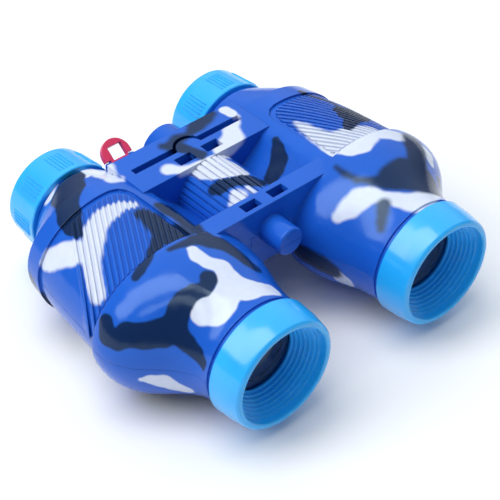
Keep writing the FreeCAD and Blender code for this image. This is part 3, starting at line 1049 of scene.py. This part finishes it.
SKY = TrimFinish("sky_trim", (0.018, 0.42, 0.96, 1.0), (0.024, 0.45, 0.98, 1.0))
DARK = TrimFinish(
    "dark_insert",
    (0.004, 0.010, 0.05, 1.0),
    (0.006, 0.014, 0.065, 1.0),
    roughness=0.45,
    coat=0.0,
)
RED = TrimFinish(
    "red_loop", (0.72, 0.028, 0.11, 1.0), (0.76, 0.035, 0.13, 1.0), roughness=0.3
)


class Palette:
    """Materials that several pieces share."""

    def __init__(self) -> None:
        """Builds each material once."""
        self.sky = SKY.material()
        self.dark = DARK.material()
        self.clear = LensFinish().material()
        self.red = RED.material()


# Sub-assemblies


@dataclass
class Moulding:
    """One moulded piece: a welded, softly shaded copy of its solid that stands for it."""

    node: str
    body: str
    slot: str
    crease_deg: float = 28.0
    weld: float = 0.000002

    def build(self) -> bpy.types.Object:
        """Makes the shown piece, without its finish.

        Returns:
            The piece.
        """
        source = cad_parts[self.node]
        piece = source.copy()
        piece.data = source.data.copy()
        piece.name = self.node + "_shown"
        piece.parent = None
        for key in [key for key in piece.keys() if key.startswith("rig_")]:
            del piece[key]
        bpy.context.scene.collection.objects.link(piece)
        self.smooth(piece)
        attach(piece, self.body)
        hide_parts(self.node)
        LOG.info("%s: %d faces", piece.name, len(piece.data.polygons))
        return piece

    def smooth(self, piece: bpy.types.Object) -> None:
        """Welds the loose triangles and shades all but the sharp edges softly.

        Args:
            piece: The piece.
        """
        bpy.ops.object.select_all(action="DESELECT")
        piece.select_set(True)
        bpy.context.view_layer.objects.active = piece
        bpy.ops.object.mode_set(mode="EDIT")
        bpy.ops.mesh.select_all(action="SELECT")
        bpy.ops.mesh.remove_doubles(threshold=self.weld)
        bpy.ops.object.mode_set(mode="OBJECT")
        bpy.ops.mesh.customdata_custom_splitnormals_clear()
        bpy.ops.object.shade_smooth_by_angle(angle=math.radians(self.crease_deg))
        even = piece.modifiers.new("even_shading", "WEIGHTED_NORMAL")
        even.keep_sharp = True
        bpy.ops.object.modifier_apply(modifier=even.name)

    def dress(self, material: bpy.types.Material) -> None:
        """Makes the shown piece with one finish all over.

        Args:
            material: The finish.
        """
        piece = self.build()
        piece.data.materials.clear()
        piece.data.materials.append(material)


class Side(Enum):
    """The two barrels."""

    LEFT = "left"
    RIGHT = "right"


@dataclass
class Shells:
    """Upper and lower shell of the body, printed with the camouflage."""

    nodes: tuple[str, ...] = ("upper_housing", "lower_housing")
    body: str = "housing"
    slot: str = "camo_body"
    finish: CamoFinish = CamoFinish()

    def build(self, layout: PrintLayout) -> None:
        """Builds and prints both shells.

        Args:
            layout: The print.
        """
        stroker = Stroker()
        for node in self.nodes:
            shell = Moulding(node, self.body, self.slot).build()
            self.finish.dress(shell, stroker, layout.dashes)


@dataclass
class ObjectiveEnd:
    """Front end of one barrel: its ring, lens and retaining ring."""

    side: Side
    body: str = "housing"

    def build(self, palette: Palette) -> None:
        """Builds and dresses the three pieces.

        Args:
            palette: Shared materials.
        """
        name = self.side.value + "_objective"
        Moulding(name + "_ring", self.body, "sky_trim").dress(palette.sky)
        Moulding(name + "_lens", self.body, "clear_lens").dress(palette.clear)
        Moulding(name + "_retainer", self.body, "dark_insert").dress(palette.dark)


@dataclass
class EyecupUnit:
    """Rear end of one barrel: its turning eyecup with the lens and retaining ring."""

    side: Side

    def build(self, palette: Palette) -> None:
        """Builds and dresses the three pieces.

        Args:
            palette: Shared materials.
        """
        body = self.side.value + "_eyecup_unit"
        Moulding(self.side.value + "_eyecup", body, "sky_trim").dress(palette.sky)
        Moulding(self.side.value + "_eye_lens", body, "clear_lens").dress(palette.clear)
        Moulding(self.side.value + "_eye_retainer", body, "dark_insert").dress(palette.dark)


@dataclass
class StrapLoop:
    """Red loop that swings in the ears of the upper shell."""

    node: str = "strap_loop"
    body: str = "loop"

    def build(self, palette: Palette) -> None:
        """Builds and dresses the loop.

        Args:
            palette: Shared materials.
        """
        Moulding(self.node, self.body, "red_loop").dress(palette.red)


# Studio


@dataclass(frozen=True)
class Lamp:
    """Soft rectangular lamp: where it hangs, the point it faces, its two sides and its watts."""

    name: str
    place: Point
    aim: Point
    size: tuple[float, float]
    power: float

    def build(self) -> None:
        """Hangs the lamp."""
        light = bpy.data.lights.new(self.name, "AREA")
        light.shape = "RECTANGLE"
        light.size, light.size_y = self.size
        light.energy = self.power
        lamp = bpy.data.objects.new(self.name, light)
        bpy.context.scene.collection.objects.link(lamp)
        lamp.location = self.place
        away = Vector(self.aim) - Vector(self.place)
        lamp.rotation_euler = away.to_track_quat("-Z", "Y").to_euler()


@dataclass
class Studio:
    """Pale floor, pale surroundings and two soft lamps."""

    floor_size: float = 6.0
    floor_tone: Colour = (0.93, 0.93, 0.93, 1.0)
    floor_shade: Colour = (0.95, 0.95, 0.95, 1.0)
    floor_scale: float = 3.0
    floor_roughness: float = 0.8
    bright_side: Point = (0.42, 0.36, 0.83)
    bright_start: float = 0.45
    bright_end: float = 0.95
    tint: Colour = (0.86, 0.93, 1.0, 1.0)
    dim_level: float = 0.27
    bright_level: float = 1.05
    lamps: tuple[Lamp, ...] = (
        Lamp(
            "key_box",
            place=(-0.615, 0.376, 1.31),
            aim=(0.082, 0.166, 0.02),
            size=(0.66, 2.05),
            power=19.5,
        ),
        Lamp(
            "front_box",
            place=(-0.69, -0.33, 1.30),
            aim=(0.005, -0.54, 0.01),
            size=(0.25, 1.1),
            power=2.6,
        ),
    )

    def floor(self) -> None:
        """Lays the pale floor under the toy."""
        bpy.ops.object.select_all(action="DESELECT")
        bpy.ops.mesh.primitive_plane_add(size=self.floor_size, location=(0.0, 0.0, 0.0))
        plane = bpy.context.active_object
        plane.name = "floor"
        bench = Bench.material("pale_floor")
        tone = bench.blend(bench.noise(self.floor_scale), self.floor_tone, self.floor_shade)
        surface = {"Base Color": tone, "Roughness": self.floor_roughness}
        plane.data.materials.append(bench.close(surface))

    def surroundings(self) -> None:
        """Sets pale surroundings, brighter above and behind to the right."""
        world = bpy.data.worlds.new("surroundings")
        world.use_nodes = True
        bench = Bench(world.node_tree)
        direction = bench.add("ShaderNodeTexCoord", {}, {}, "Generated")
        towards = bench.vector(
            "DOT_PRODUCT", direction, self.bright_side, output=bench.VECTOR_NUMBER
        )
        level = towards.step(
            self.bright_start, self.bright_end, self.dim_level, self.bright_level
        )
        background = world.node_tree.nodes["Background"]
        background.inputs["Color"].default_value = self.tint
        world.node_tree.links.new(level.socket, background.inputs["Strength"])
        bpy.context.scene.world = world

    def build(self) -> None:
        """Sets up the whole studio."""
        self.floor()
        self.surroundings()
        for lamp in self.lamps:
            lamp.build()
        bpy.context.scene.view_settings.view_transform = "Standard"


def main() -> None:
    """Builds every sub-assembly in order."""
    logging.basicConfig(level=logging.INFO, format="%(name)s %(message)s")
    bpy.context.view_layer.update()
    viewpoint = Viewpoint()
    Shells().build(PrintLayout(viewpoint))
    palette = Palette()
    for side in Side:
        ObjectiveEnd(side).build(palette)
        EyecupUnit(side).build(palette)
    StrapLoop().build(palette)
    Studio().build()
    viewpoint.build()


if __name__ == "__main__":
    main()
